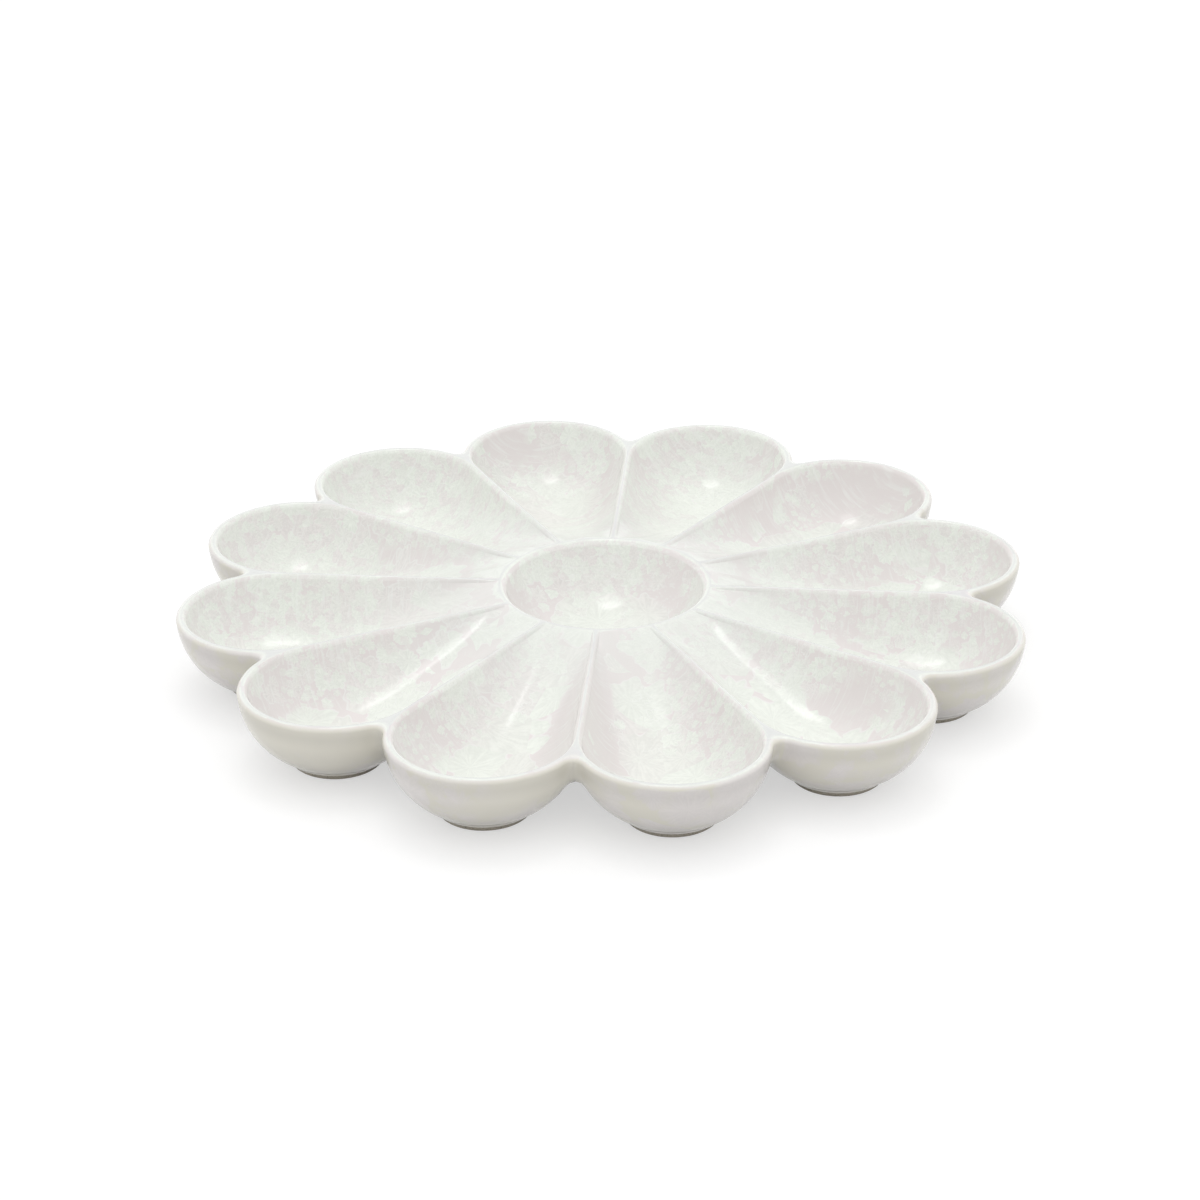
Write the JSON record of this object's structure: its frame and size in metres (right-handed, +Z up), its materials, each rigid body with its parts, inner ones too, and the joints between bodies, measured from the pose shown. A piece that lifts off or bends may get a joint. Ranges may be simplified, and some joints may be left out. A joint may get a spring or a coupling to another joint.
{
  "type": "oyster platter",
  "caption": "Round scalloped platter in pale crystalline-glazed stoneware: spoon-shaped oyster wells ramp down and out from a round dip bowl, each one standing on a low round foot.",
  "frame": {"origin": "on the table under the middle of the platter", "axes": "+Z up along the platter's axis of symmetry; +X and +Y each along the middle of a well"},
  "size_m": [0.38, 0.38, 0.0359],
  "materials": {
    "glaze": "glossy crystalline glaze in pale mint on a pinkish cream ground",
    "foot_clay": "bare ground stoneware, matte"
  },
  "bodies": {
    "root": {"centre_bowl": "glaze", "petal_well_01": "glaze", "petal_well_02": "glaze", "petal_well_03": "glaze", "petal_well_04": "glaze", "petal_well_05": "glaze", "petal_well_06": "glaze", "petal_well_07": "glaze", "petal_well_08": "glaze", "petal_well_09": "glaze", "petal_well_10": "glaze", "petal_well_11": "glaze", "petal_well_12": "glaze", "petal_foot_01": "foot_clay", "petal_foot_02": "foot_clay", "petal_foot_03": "foot_clay", "petal_foot_04": "foot_clay", "petal_foot_05": "foot_clay", "petal_foot_06": "foot_clay", "petal_foot_07": "foot_clay", "petal_foot_08": "foot_clay", "petal_foot_09": "foot_clay", "petal_foot_10": "foot_clay", "petal_foot_11": "foot_clay", "petal_foot_12": "foot_clay"}
  },
  "joints": []
}
